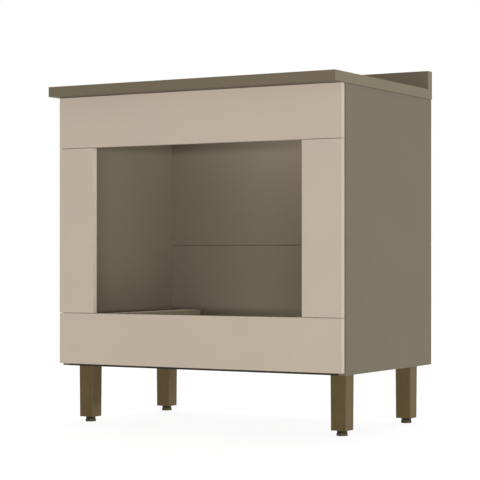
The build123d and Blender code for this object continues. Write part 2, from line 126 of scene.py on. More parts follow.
def pressedMelamine(name, look):
    # Melamine paper pressed hot on the board, or its edge tape: one even colour with a faint cloud and
    # fine flecks, and a matt skin with the press plate's pearl texture that varies a little in gloss.
    material, tree = newMaterial(name)
    where = addNode(tree, "ShaderNodeTexCoord")["Object"]
    cloud = addNode(tree, "ShaderNodeTexNoise", {
        "Vector": where, "Scale": perMetre(look["cloudSize"])})["Fac"]
    cloud = addNode(tree, "ShaderNodeMapRange", {"Value": cloud, **fromTo(look["cloudSpread"])})["Result"]
    fleck = addNode(tree, "ShaderNodeTexNoise", {
        "Vector": where, "Scale": perMetre(look["fleckSize"]), "Detail": 3})["Fac"]
    fleck = addNode(tree, "ShaderNodeMapRange", {
        "Value": fleck, **fromTo(look["fleckSpread"], (0, look["fleckAmount"]))})["Result"]
    clouded = addNode(tree, "ShaderNodeMix", {
        0: cloud, 6: linearColour(look["dark"]), 7: linearColour(look["light"])}, data_type="RGBA")[2]
    flecked = addNode(tree, "ShaderNodeMix", {
        0: fleck, 6: clouded, 7: linearColour(look["fleck"])}, data_type="RGBA")[2]
    gloss = addNode(tree, "ShaderNodeTexNoise", {
        "Vector": where, "Scale": perMetre(look["glossSize"]), "Detail": 4})["Fac"]
    gloss = addNode(tree, "ShaderNodeMapRange", {
        "Value": gloss, **fromTo(noiseRange, look["roughness"])})["Result"]
    pearl = addNode(tree, "ShaderNodeTexNoise", {
        "Vector": where, "Scale": perMetre(look["pearlSize"])})["Fac"]
    addSurface(tree, pearl, look["pearlDepth"], {
        "Base Color": flecked, "Roughness": gloss, "IOR": look["ior"], "Specular IOR Level": look["shine"]})
    return material


chipboardLook = {
    "chip": "#B8986A", "pale": "#D2B88D", "dark": "#7F603C", "darkSpread": (0.7, 0.95), "darkAmount": 0.7,
    "chipSize": 1.8, "depth": 0.12, "roughness": (0.78, 0.98), "dustSize": 0.5, "shine": 0.3,
}


def sawnChipboard(name, look):
    # Sawn particle board: pressed wood chips of 1 to 3 mm in several browns, dry, rough and dusty.
    material, tree = newMaterial(name)
    where = addNode(tree, "ShaderNodeTexCoord")["Object"]
    chips = addNode(tree, "ShaderNodeTexVoronoi", {"Vector": where, "Scale": perMetre(look["chipSize"])})
    tone = addNode(tree, "ShaderNodeSeparateColor", {"Color": chips["Color"]})
    pale = addNode(tree, "ShaderNodeMix", {
        0: tone["Red"], 6: linearColour(look["chip"]), 7: linearColour(look["pale"])}, data_type="RGBA")[2]
    deep = addNode(tree, "ShaderNodeMapRange", {
        "Value": tone["Green"], **fromTo(look["darkSpread"], (0, look["darkAmount"]))})["Result"]
    colour = addNode(tree, "ShaderNodeMix", {
        0: deep, 6: pale, 7: linearColour(look["dark"])}, data_type="RGBA")[2]
    dust = addNode(tree, "ShaderNodeTexNoise", {"Vector": where, "Scale": perMetre(look["dustSize"])})["Fac"]
    dry = addNode(tree, "ShaderNodeMapRange", {"Value": dust, **fromTo(wanted=look["roughness"])})["Result"]
    addSurface(tree, chips["Distance"], look["depth"], {
        "Base Color": colour, "Roughness": dry, "Specular IOR Level": look["shine"]})
    return material


# the roughness is the front's and the rear's
hardboardLook = {
    "print": "#6C6455", "printShade": "#6A6253", "cloudSize": 90, "raw": "#6B4A2C", "rawPale": "#7F5B38",
    "fibreSize": 3.0, "screenPitch": 1.4, "screenDepth": 0.12, "screenStrength": 0.5,
    "roughness": (0.5, 0.86), "shine": 0.1,
}


def printedHardboard(name, look, middleY):
    # Hardboard: a smooth front printed in the carcass's taupe, and a raw brown rear that carries the
    # fine mesh of the press screen. The two sides part at the sheet's middle.
    material, tree = newMaterial(name)
    where = addNode(tree, "ShaderNodeTexCoord")["Object"]
    place = addNode(tree, "ShaderNodeSeparateXYZ", {"Vector": where})
    behind = addNode(tree, "ShaderNodeMath", {0: place["Y"], 1: middleY}, operation="GREATER_THAN")["Value"]
    cloud = addNode(tree, "ShaderNodeTexNoise", {
        "Vector": where, "Scale": perMetre(look["cloudSize"])})["Fac"]
    printed = addNode(tree, "ShaderNodeMix", {
        0: cloud, 6: linearColour(look["print"]), 7: linearColour(look["printShade"])}, data_type="RGBA")[2]
    fibres = addNode(tree, "ShaderNodeTexNoise", {
        "Vector": where, "Scale": perMetre(look["fibreSize"]), "Detail": 6})["Fac"]
    fibres = addNode(tree, "ShaderNodeMapRange", {"Value": fibres, **fromTo(noiseRange)})["Result"]
    raw = addNode(tree, "ShaderNodeMix", {
        0: fibres, 6: linearColour(look["raw"]), 7: linearColour(look["rawPale"])}, data_type="RGBA")[2]
    colour = addNode(tree, "ShaderNodeMix", {0: behind, 6: printed, 7: raw}, data_type="RGBA")[2]
    matt = addNode(tree, "ShaderNodeMapRange", {
        "Value": behind, **fromTo(wanted=look["roughness"])})["Result"]
    wave = 2 * math.pi / (look["screenPitch"] * mm)
    stretched = addNode(tree, "ShaderNodeVectorMath", {
        0: where, 1: (wave, 0, wave)}, operation="MULTIPLY")["Vector"]
    wires = addNode(tree, "ShaderNodeVectorMath", {0: stretched}, operation="SINE")["Vector"]
    wires = addNode(tree, "ShaderNodeSeparateXYZ", {"Vector": wires})
    screen = addNode(tree, "ShaderNodeMath", {0: wires["X"], 1: wires["Z"]}, operation="MAXIMUM")["Value"]
    screen = addNode(tree, "ShaderNodeMath", {0: screen, 1: behind}, operation="MULTIPLY")["Value"]
    addSurface(tree, screen, look["screenDepth"], {
        "Base Color": colour, "Roughness": matt, "Specular IOR Level": look["shine"]}, look["screenStrength"])
    return material


# The mould's grain is finer than 0.3 mm, and is drawn coarser so that it shows.
bronzeLook = {
    "dark": "#5F5035", "light": "#655439", "roughness": (0.36, 0.46), "flowSize": 30, "grainSize": 1.1,
    "grainDepth": 0.015, "ior": 1.49, "shine": 0.1,
}
# The pads carry the black's own tone; the collars and the leg plates are a deeper copy of it, with the shade
# under the legs painted in.
padLook = dict(
    bronzeLook, dark="#47402F", light="#4F4937", roughness=(0.42, 0.55),
    flowSize=8, grainSize=0.6, grainDepth=0.02)
shadedCollarLook = dict(padLook, dark="#282419", light="#2D291E")
foamLook = dict(
    bronzeLook, dark="#4A4640", light="#56524B", roughness=(0.85, 0.95),
    flowSize=2, grainSize=0.3, grainDepth=0.08)


def mouldedPolymer(name, look):
    # Injection-moulded polypropylene, or cut foam rubber: one body colour with weak flow marks, and a
    # satin skin with the mould's fine spark-eroded grain, or the foam's open cells.
    material, tree = newMaterial(name)
    where = addNode(tree, "ShaderNodeTexCoord")["Object"]
    flow = addNode(tree, "ShaderNodeTexNoise", {
        "Vector": where, "Scale": perMetre(look["flowSize"]), "Detail": 3})["Fac"]
    flow = addNode(tree, "ShaderNodeMapRange", {"Value": flow, **fromTo(noiseRange)})["Result"]
    colour = addNode(tree, "ShaderNodeMix", {
        0: flow, 6: linearColour(look["dark"]), 7: linearColour(look["light"])}, data_type="RGBA")[2]
    satin = addNode(tree, "ShaderNodeMapRange", {
        "Value": flow, **fromTo(wanted=look["roughness"])})["Result"]
    grain = addNode(tree, "ShaderNodeTexNoise", {
        "Vector": where, "Scale": perMetre(look["grainSize"])})["Fac"]
    addSurface(tree, grain, look["grainDepth"], {
        "Base Color": colour, "Roughness": satin, "IOR": look["ior"], "Specular IOR Level": look["shine"]})
    return material


# Zinc plating on cold-headed steel is bright and bluish, with cloudy passivation.
zincPlateLook = {
    "dark": "#A3A5A6", "light": "#C2C4C4", "roughness": (0.24, 0.42), "patchSize": 3, "markSize": 0.35,
    "markDepth": 0.006,
}
# Die-cast zinc is greyer, with the dull grain of the casting's skin.
castZincLook = dict(
    zincPlateLook, dark="#8B8D90", light="#9DA0A3", roughness=(0.45, 0.6), patchSize=2, markDepth=0.02)
# Brass bar turned on a lathe is warm and bright, with fine tool marks.
brassLook = dict(zincPlateLook, dark="#B28A45", light="#C9A35C", roughness=(0.22, 0.35), patchSize=4)


def fittingMetal(name, look):
    # Metal of the fittings: patches a few millimetres across differ in tone and polish, over small marks.
    material, tree = newMaterial(name)
    where = addNode(tree, "ShaderNodeTexCoord")["Object"]
    patch = addNode(tree, "ShaderNodeTexNoise", {
        "Vector": where, "Scale": perMetre(look["patchSize"]), "Detail": 4})["Fac"]
    patch = addNode(tree, "ShaderNodeMapRange", {"Value": patch, **fromTo(noiseRange)})["Result"]
    colour = addNode(tree, "ShaderNodeMix", {
        0: patch, 6: linearColour(look["dark"]), 7: linearColour(look["light"])}, data_type="RGBA")[2]
    polish = addNode(tree, "ShaderNodeMapRange", {
        "Value": patch, **fromTo(wanted=look["roughness"])})["Result"]
    marks = addNode(tree, "ShaderNodeTexNoise", {"Vector": where, "Scale": perMetre(look["markSize"])})["Fac"]
    addSurface(tree, marks, look["markDepth"], {"Base Color": colour, "Roughness": polish, "Metallic": 1})
    return material


beechLook = {
    "wood": "#C9A273", "grain": "#AD8253", "ringPitch": 1.2, "alongShare": 0.08, "depth": 0.03,
    "fleckSize": 0.8, "roughness": (0.55, 0.8),
}


def turnedBeech(name, look):
    # Raw beech dowel: fine growth rings drawn out along X, the dowel's length, and short drier flecks.
    material, tree = newMaterial(name)
    where = addNode(tree, "ShaderNodeTexCoord")["Object"]
    drawn = addNode(tree, "ShaderNodeMapping", {
        "Vector": where, "Scale": (look["alongShare"], 1, 1)})["Vector"]
    rings = addNode(tree, "ShaderNodeTexNoise", {
        "Vector": drawn, "Scale": perMetre(look["ringPitch"]), "Detail": 5})["Fac"]
    tone = addNode(tree, "ShaderNodeMapRange", {"Value": rings, **fromTo(noiseRange)})["Result"]
    colour = addNode(tree, "ShaderNodeMix", {
        0: tone, 6: linearColour(look["wood"]), 7: linearColour(look["grain"])}, data_type="RGBA")[2]
    fleck = addNode(tree, "ShaderNodeTexNoise", {
        "Vector": drawn, "Scale": perMetre(look["fleckSize"])})["Fac"]
    dry = addNode(tree, "ShaderNodeMapRange", {
        "Value": fleck, **fromTo(wanted=look["roughness"])})["Result"]
    addSurface(tree, rings, look["depth"], {"Base Color": colour, "Roughness": dry})
    return material


# The film's drawn lines are finer than 0.3 mm, and are coarser here so that they show.
tapeLook = {
    "dark": "#5E5341", "light": "#6A5E4A", "patchSize": 25, "roughness": (0.36, 0.58), "linePitch": 0.9,
    "alongShare": 0.02, "lineDepth": 0.03,
}


def packingTape(name, look):
    # Brown polypropylene packing tape: a thin satin film with fine drawn lines along it.
    material, tree = newMaterial(name)
    where = addNode(tree, "ShaderNodeTexCoord")["Object"]
    patch = addNode(tree, "ShaderNodeTexNoise", {
        "Vector": where, "Scale": perMetre(look["patchSize"]), "Detail": 4})["Fac"]
    colour = addNode(tree, "ShaderNodeMix", {
        0: patch, 6: linearColour(look["dark"]), 7: linearColour(look["light"])}, data_type="RGBA")[2]
    satin = addNode(tree, "ShaderNodeMapRange", {
        "Value": patch, **fromTo(wanted=look["roughness"])})["Result"]
    drawn = addNode(tree, "ShaderNodeMapping", {
        "Vector": where, "Scale": (look["alongShare"], 1, 1)})["Vector"]
    lines = addNode(tree, "ShaderNodeTexNoise", {
        "Vector": drawn, "Scale": perMetre(look["linePitch"])})["Fac"]
    addSurface(tree, lines, look["lineDepth"], {"Base Color": colour, "Roughness": satin})
    return material


sheetLow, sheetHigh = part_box("lower_back_panel")
taupeMelamine = pressedMelamine("taupeMelamine", taupeLook)
beigeMelamine = pressedMelamine("beigeMelamine", beigeLook)
taupeEdgeTape = pressedMelamine("taupeEdgeTape", taupeTapeLook)
beigeEdgeTape = pressedMelamine("beigeEdgeTape", beigeTapeLook)
paintedShadeEdgeTape = pressedMelamine("paintedShadeEdgeTape", shadeDarkTapeLook)
rawChipboard = sawnChipboard("rawChipboard", chipboardLook)
hardboard = printedHardboard("hardboard", hardboardLook, (sheetLow.y + sheetHigh.y) / 2)
bronzePolypropylene = mouldedPolymer("bronzePolypropylene", bronzeLook)
blackPolypropylene = mouldedPolymer("blackPolypropylene", padLook)
# the same black, darker with the painted shade under the legs
shadedBlackPolypropylene = mouldedPolymer("shadedBlackPolypropylene", shadedCollarLook)
foamRubber = mouldedPolymer("foamRubber", foamLook)
zincPlatedSteel = fittingMetal("zincPlatedSteel", zincPlateLook)
dieCastZinc = fittingMetal("dieCastZinc", castZincLook)
turnedBrass = fittingMetal("turnedBrass", brassLook)
rawBeech = turnedBeech("rawBeech", beechLook)
brownTape = packingTape("brownTape", tapeLook)
# the boards and the foot pads have finishes of their own
finishOfSlot = {
    "back_board": hardboard, "back_tape": brownTape, "beech": rawBeech, "zinc_alloy": dieCastZinc,
    "zinc_plated_steel": zincPlatedSteel, "soft_spacer": foamRubber, "leg_plastic": bronzePolypropylene,
    "black_plastic": shadedBlackPolypropylene, "insert_brass": turnedBrass,
}
print("materials made:", len(bpy.data.materials))


# What every piece goes through

def finished(piece, *stoodFor):
    # a piece stands for CAD nodes of one body, and takes their slot
    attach(piece, bodyOfNode[stoodFor[0]])
    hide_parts(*stoodFor)


def finishOf(node):
    return finishOfSlot[slotOfNode[node]]


def addedObject(name, data):
    thing = bpy.data.objects.new(name, data)
    scene.collection.objects.link(thing)
    return thing


def newPiece(name, shape, materials, sharpAngle=40):
    mesh = bpy.data.meshes.new(name)
    shape.to_mesh(mesh)
    shape.free()
    # the CAD mesh's own normals would stand in the way of these
    for extra in ("custom_normal", "sharp_face"):
        if extra in mesh.attributes:
            mesh.attributes.remove(mesh.attributes[extra])
    for material in materials:
        mesh.materials.append(material)
    mesh.shade_smooth()
    mesh.set_sharp_from_angle(angle=math.radians(sharpAngle))
    return addedObject(name, mesh)


def keepFlat(piece):
    # large faces keep their own normals, so that only the eased edges shade round
    normals = piece.modifiers.new("flatFaces", "WEIGHTED_NORMAL")
    normals.keep_sharp = True
    return piece


def mergedShape(node, flatAngle=None):
    # a CAD node's loose triangles joined up, and flat faces made one where an angle is given
    shape = bmesh.new()
    shape.from_mesh(nodes[node].data)
    bmesh.ops.remove_doubles(shape, verts=shape.verts, dist=weldDistance)
    if flatAngle:
        bmesh.ops.dissolve_limit(
            shape, angle_limit=math.radians(flatAngle), verts=shape.verts, edges=shape.edges)
    return shape


# Boards: each is cut from its CAD solid, then its taped edges get their tape and glue line

boardSizes = {
    "tapeThickness": 0.8 * mm, "glueLineWidth": 0.2 * mm, "glueLineDepth": 0.06 * mm, "faceDepth": 0.5 * mm,
    "flatAngle": 0.5,
}
# each side's axis and direction
boardSides = {
    "left": (0, -1), "right": (0, 1), "front": (1, -1), "rear": (1, 1), "bottom": (2, -1), "top": (2, 1),
}
# a board's materials, in this order
boardFace, boardTape, boardSawn = range(3)
taupeBoard = (taupeMelamine, taupeEdgeTape, rawChipboard)
beigeBoard = (beigeMelamine, beigeEdgeTape, rawChipboard)
# the base panel's front tape carries the painted shade under the frame
baseBoard = (taupeMelamine, paintedShadeEdgeTape, rawChipboard)
# The oven rests' tops show as a light line at the foot of the niche, so their faces are pale: partly a
# painted highlight for the light on those tops.
restBoard = (beigeMelamine, taupeEdgeTape, rawChipboard)
# the sides whose tape runs the whole length come first, and those whose tape stops against it come second
tapedBoards = {
    "left_side_panel": (taupeBoard, ("front", "bottom")),
    "right_side_panel": (taupeBoard, ("front", "bottom")),
    "base_panel": (baseBoard, ("front",)),
    "front_stretcher": (taupeBoard, ("front",)),
    "rear_stretcher": (taupeBoard, ("front",)),
    "worktop": (taupeBoard, ("front",), ("left", "right")),
    "upstand": (taupeBoard, ("top",), ("left", "right")),
    "left_oven_rest": (restBoard, ("front", "right")),
    "right_oven_rest": (restBoard, ("front", "left")),
    "left_rest_upright": (taupeBoard, ("front",)),
    "right_rest_upright": (taupeBoard, ("front",)),
    "bottom_rail": (beigeBoard, ("top", "bottom"), ("left", "right")),
    "top_rail": (beigeBoard, ("top", "bottom"), ("left", "right")),
    "left_stile": (beigeBoard, ("left", "right"), ("top", "bottom")),
    "right_stile": (beigeBoard, ("left", "right"), ("top", "bottom")),
}


def sideGap(point, low, high, side):
    axis, sign = boardSides[side]
    return high[axis] - point[axis] if sign > 0 else point[axis] - low[axis]


def cutGlueLine(shape, low, high, side, stopAt):
    # three cuts round the board, of which the middle one is sunk later
    axis, sign = boardSides[side]
    edge = high[axis] if sign > 0 else low[axis]
    across = Vector([float(i == axis) for i in range(3)])
    for step in (-0.5, 0.5, 0):
        depth = boardSizes["tapeThickness"] + step * boardSizes["glueLineWidth"]
        cut = [f for f in shape.faces if all(
            sideGap(f.calc_center_median(), low, high, s) > boardSizes["tapeThickness"] for s in stopAt)]
        edges = list({e for f in cut for e in f.edges})
        verts = list({v for f in cut for v in f.verts})
        made = bmesh.ops.bisect_plane(
            shape, geom=verts + edges + cut, dist=weldDistance,
            plane_co=across * (edge - sign * depth), plane_no=across)
        sunk = [g for g in made["geom_cut"] if isinstance(g, bmesh.types.BMVert)]
    return sunk


def tapedBoard(node, materials, wholeSides, stoppedSides=()):
    low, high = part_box(node)
    shape = mergedShape(node, boardSizes["flatAngle"])
    sunk = set()
    for side in wholeSides:
        sunk.update(cutGlueLine(shape, low, high, side, ()))
    for side in stoppedSides:
        sunk.update(cutGlueLine(shape, low, high, side, wholeSides))
    shape.normal_update()
    for vert in sunk:
        if vert.is_valid:
            vert.co -= vert.normal * boardSizes["glueLineDepth"]
    thin = min(range(3), key=lambda i: high[i] - low[i])
    taped = wholeSides + stoppedSides
    for face in shape.faces:
        middle = face.calc_center_median()
        near = [s for s, (axis, sign) in boardSides.items()
                if axis != thin and sideGap(middle, low, high, s) < boardSizes["tapeThickness"]]
        deep = min(middle[thin] - low[thin], high[thin] - middle[thin])
        if any(side in taped for side in near):
            face.material_index = boardTape
        elif abs(face.normal[thin]) > 0.5 and deep < boardSizes["faceDepth"]:
            face.material_index = boardFace
        else:
            face.material_index = boardSawn
    bmesh.ops.triangulate(shape, faces=[f for f in shape.faces if len(f.verts) > 4])
    finished(keepFlat(newPiece(node + "_taped", shape, materials)), node)


for boardNode, dressing in tapedBoards.items():
    tapedBoard(boardNode, *dressing)
print("boards taped:", len(tapedBoards))


# Pressed and moulded pieces that keep their CAD shape, with their sharp edges eased

easing = {"flatAngle": 1, "edgeAngle": 40, "segments": 2}
# each node's bevel width
easedEdges = {
    "front_brackets": 0.4 * mm, "joining_plates": 0.25 * mm, "cam_locks": 0.15 * mm, "cam_bolts": 0.15 * mm,
}
for corner in corners:
    easedEdges[corner + "_leg"] = 0.35 * mm
    easedEdges[corner + "_leg_plate"] = 0.3 * mm
    easedEdges[corner + "_threaded_insert"] = 0.15 * mm
    easedEdges[corner + "_foot_collar"] = 0.25 * mm


def easedPiece(node, width):
    piece = newPiece(node + "_eased", mergedShape(node, easing["flatAngle"]), [finishOf(node)])
    bevel = piece.modifiers.new("easedEdges", "BEVEL")
    bevel.width = width
    bevel.segments = easing["segments"]
    bevel.limit_method = "ANGLE"
    bevel.angle_limit = math.radians(easing["edgeAngle"])
    finished(keepFlat(piece), node)


for easedNode, easedWidth in easedEdges.items():
    easedPiece(easedNode, easedWidth)
print("eased pieces:", len(easedEdges))


# Fasteners and other pieces that repeat, each drawn once by a tree and set on its places

def newTree(name, inputs):
    # every tree also takes the most that a copy is turned about its axis, a seed and a material
    inputs = {"Most Turn": 0.0, "Seed": 1, "Material": None, **inputs}
    tree = bpy.data.node_groups.new(name, "GeometryNodeTree")
    tree.interface.new_socket("Geometry", in_out="INPUT", socket_type="NodeSocketGeometry")
    socketKinds = {bool: "NodeSocketBool", int: "NodeSocketInt", float: "NodeSocketFloat"}
    for label, value in inputs.items():
        socket = tree.interface.new_socket(
            label, in_out="INPUT", socket_type=socketKinds.get(type(value), "NodeSocketMaterial"))
        if value is not None:
            socket.default_value = value
    tree.interface.new_socket("Geometry", in_out="OUTPUT", socket_type="NodeSocketGeometry")
    return tree, tree.nodes.new("NodeGroupInput").outputs


def roundBar(tree, radius, length, around, rows):
    # a round bar that stands on 0, and the place of its points split into X, Y and Z
    bar = addNode(tree, "GeometryNodeMeshCylinder", {
        "Vertices": around, "Side Segments": rows, "Radius": radius, "Depth": length},
        fill_type="NGON")["Mesh"]
    half = addNode(tree, "ShaderNodeMath", {0: length, 1: 0.5}, operation="MULTIPLY")["Value"]
    lift = addNode(tree, "ShaderNodeCombineXYZ", {"Z": half})["Vector"]
    stood = addNode(tree, "GeometryNodeTransform", {"Geometry": bar, "Translation": lift})["Geometry"]
    where = addNode(tree, "GeometryNodeInputPosition")["Position"]
    return stood, addNode(tree, "ShaderNodeSeparateXYZ", {"Vector": where})


def takenIn(tree, geometry, share):
    # every point's distance from the Z axis, times the share
    where = addNode(tree, "GeometryNodeInputPosition")["Position"]
    shares = addNode(tree, "ShaderNodeCombineXYZ", {"X": share, "Y": share, "Z": 1})["Vector"]
    moved = addNode(tree, "ShaderNodeVectorMath", {0: where, 1: shares}, operation="MULTIPLY")["Vector"]
    return addNode(tree, "GeometryNodeSetPosition", {"Geometry": geometry, "Position": moved})["Geometry"]


def pointed(tree, given, rod, at, length):
    # the rod tapers over its last stretch to a share of its radius
    start = addNode(tree, "ShaderNodeMath", {
        0: length, 1: given["Point Length"]}, operation="SUBTRACT")["Value"]
    share = addNode(tree, "ShaderNodeMapRange", {
        "Value": at["Z"], "From Min": start, "From Max": length,
        "To Min": 1, "To Max": given["Point Share"]})["Result"]
    return takenIn(tree, rod, share)


def threadedRod(tree, given, length, around, rowsPerTurn):
    # right-hand thread along +Z, from the plain neck to the point
    turns = addNode(tree, "ShaderNodeMath", {
        0: length, 1: given["Thread Pitch"]}, operation="DIVIDE")["Value"]
    rows = addNode(tree, "ShaderNodeMath", {0: turns, 1: rowsPerTurn}, operation="MULTIPLY")["Value"]
    rod, at = roundBar(tree, given["Shank Radius"], length, around, rows)
    angle = addNode(tree, "ShaderNodeMath", {0: at["Y"], 1: at["X"]}, operation="ARCTAN2")["Value"]
    turned = addNode(tree, "ShaderNodeMath", {0: angle, 1: 2 * math.pi}, operation="DIVIDE")["Value"]
    climbed = addNode(tree, "ShaderNodeMath", {
        0: at["Z"], 1: given["Thread Pitch"]}, operation="DIVIDE")["Value"]
    phase = addNode(tree, "ShaderNodeMath", {0: climbed, 1: turned}, operation="SUBTRACT")["Value"]
    fromCrest = addNode(tree, "ShaderNodeMath", {0: phase, 1: 0.5}, operation="PINGPONG")["Value"]
    sunk = addNode(tree, "ShaderNodeMapRange", {
        "Value": fromCrest, "From Max": given["Ridge Width"], "To Max": given["Thread Depth"]})["Result"]
    begun = addNode(tree, "ShaderNodeMath", {
        0: at["Z"], 1: given["Plain Neck"]}, operation="GREATER_THAN")["Value"]
    sunk = addNode(tree, "ShaderNodeMath", {0: sunk, 1: begun}, operation="MULTIPLY")["Value"]
    sunk = addNode(tree, "ShaderNodeMath", {0: sunk, 1: given["Shank Radius"]}, operation="DIVIDE")["Value"]
    share = addNode(tree, "ShaderNodeMath", {0: 1, 1: sunk}, operation="SUBTRACT")["Value"]
    return pointed(tree, given, takenIn(tree, rod, share), at, length)


def setOnPlaces(tree, given, drawn):
    # one copy on each place, each turned at random about its own axis, then made real
    turn = addNode(tree, "FunctionNodeRandomValue", {
        2: 0.0, 3: given["Most Turn"], "Seed": given["Seed"]}, data_type="FLOAT")[1]
    spin = addNode(tree, "FunctionNodeAxisAngleToRotation", {"Axis": (0, 0, 1), "Angle": turn})["Rotation"]
    aim = addNode(tree, "GeometryNodeInputNamedAttribute", {
        "Name": "aim"}, data_type="QUATERNION")["Attribute"]
    rotation = addNode(tree, "FunctionNodeRotateRotation", {
        "Rotation": aim, "Rotate By": spin}, rotation_space="LOCAL")["Rotation"]
    copies = addNode(tree, "GeometryNodeInstanceOnPoints", {
        "Points": given["Geometry"], "Instance": drawn, "Rotation": rotation})["Instances"]
    real = addNode(tree, "GeometryNodeRealizeInstances", {"Geometry": copies})["Geometry"]
    coated = addNode(tree, "GeometryNodeSetMaterial", {
        "Geometry": real, "Material": given["Material"]})["Geometry"]
    addNode(tree, "NodeGroupOutput", {"Geometry": coated})


def woodScrew():
    # wood screw from its head's outer face at 0 down to its point, with a cross recess
    tree, given = newTree("woodScrew", {
        "Length": 0.02, "Shank Radius": 0.00175, "Head Radius": 0.0033, "Head Height": 0.002,
        "Rim Share": 0.1, "Pan Head": False, "Dome": 0.2, "Dome Power": 3.0, "Plain Neck": 0.004,
        "Thread Pitch": 0.0016, "Thread Depth": 0.0005, "Ridge Width": 0.3, "Point Length": 0.003,
        "Point Share": 0.12, "Recess Length": 0.0036, "Recess Width": 0.0009, "Recess Depth": 0.001,
        "Most Turn": 6.2832})
    head, at = roundBar(tree, given["Head Radius"], given["Head Height"], around=28, rows=6)
    neck = addNode(tree, "ShaderNodeMath", {
        0: given["Shank Radius"], 1: given["Head Radius"]}, operation="DIVIDE")["Value"]
    deep = addNode(tree, "ShaderNodeMath", {0: at["Z"], 1: given["Head Height"]}, operation="DIVIDE")["Value"]
    cone = addNode(tree, "ShaderNodeMapRange", {
        "Value": deep, "From Min": given["Rim Share"], "To Min": 1, "To Max": neck})["Result"]
    rise = addNode(tree, "ShaderNodeMath", {0: 1, 1: deep}, operation="SUBTRACT")["Value"]
    rise = addNode(tree, "ShaderNodeMath", {0: rise, 1: given["Dome Power"]}, operation="POWER")["Value"]
    dome = addNode(tree, "ShaderNodeMath", {0: rise, 1: given["Dome"]}, operation="MULTIPLY")["Value"]
    dome = addNode(tree, "ShaderNodeMath", {0: 1, 1: dome}, operation="SUBTRACT")["Value"]
    share = addNode(tree, "GeometryNodeSwitch", {
        "Switch": given["Pan Head"], "False": cone, "True": dome}, input_type="FLOAT")["Output"]
    head = takenIn(tree, head, share)
    depth = addNode(tree, "ShaderNodeMath", {0: given["Recess Depth"], 1: 2}, operation="MULTIPLY")["Value"]
    bars = []
    for along, across in (("X", "Y"), ("Y", "X")):
        size = addNode(tree, "ShaderNodeCombineXYZ", {
            along: given["Recess Length"], across: given["Recess Width"], "Z": depth})["Vector"]
        bars.append(addNode(tree, "GeometryNodeMeshCube", {"Size": size})["Mesh"])
    head = addNode(tree, "GeometryNodeMeshBoolean", {
        "Mesh 1": head, "Mesh 2": bars}, operation="DIFFERENCE", solver="EXACT")["Mesh"]
    reach = addNode(tree, "ShaderNodeMath", {
        0: given["Length"], 1: given["Head Height"]}, operation="SUBTRACT")["Value"]
    shank = threadedRod(tree, given, reach, around=12, rowsPerTurn=6)
    lift = addNode(tree, "ShaderNodeCombineXYZ", {"Z": given["Head Height"]})["Vector"]
    shank = addNode(tree, "GeometryNodeTransform", {"Geometry": shank, "Translation": lift})["Geometry"]
    setOnPlaces(tree, given, addNode(tree, "GeometryNodeJoinGeometry", {
        "Geometry": [shank, head]})["Geometry"])
    return tree


def panelNail():
    # round wire nail with a flat head, and the gripper marks under it
    tree, given = newTree("panelNail", {
        "Length": 0.015, "Shank Radius": 0.0007, "Head Radius": 0.0016, "Head Height": 0.0005,
        "Face Share": 0.88, "Point Length": 0.0014, "Point Share": 0.1, "Grip Pitch": 0.0006,
        "Grip Depth": 0.00006, "Grip Length": 0.004, "Most Turn": 6.2832})
    head, at = roundBar(tree, given["Head Radius"], given["Head Height"], around=20, rows=3)
    rim = addNode(tree, "ShaderNodeMapRange", {
        "Value": at["Z"], "From Max": given["Head Height"], "To Min": given["Face Share"], "To Max": 1},
        interpolation_type="SMOOTHSTEP")["Result"]
    head = takenIn(tree, head, rim)
    shank, at = roundBar(tree, given["Shank Radius"], given["Length"], around=10, rows=100)
    ring = addNode(tree, "ShaderNodeMath", {
        0: at["Z"], 1: given["Grip Pitch"]}, operation="PINGPONG")["Value"]
    ring = addNode(tree, "ShaderNodeMath", {0: ring, 1: given["Grip Pitch"]}, operation="DIVIDE")["Value"]
    marked = addNode(tree, "ShaderNodeMath", {
        0: at["Z"], 1: given["Grip Length"]}, operation="LESS_THAN")["Value"]
    mark = addNode(tree, "ShaderNodeMath", {
        0: given["Grip Depth"], 1: given["Shank Radius"]}, operation="DIVIDE")["Value"]
    mark = addNode(tree, "ShaderNodeMath", {0: mark, 1: ring}, operation="MULTIPLY")["Value"]
    mark = addNode(tree, "ShaderNodeMath", {0: mark, 1: marked}, operation="MULTIPLY")["Value"]
    share = addNode(tree, "ShaderNodeMath", {0: 1, 1: mark}, operation="SUBTRACT")["Value"]
    shank = pointed(tree, given, takenIn(tree, shank, share), at, given["Length"])
    setOnPlaces(tree, given, addNode(tree, "GeometryNodeJoinGeometry", {
        "Geometry": [shank, head]})["Geometry"])
    return tree


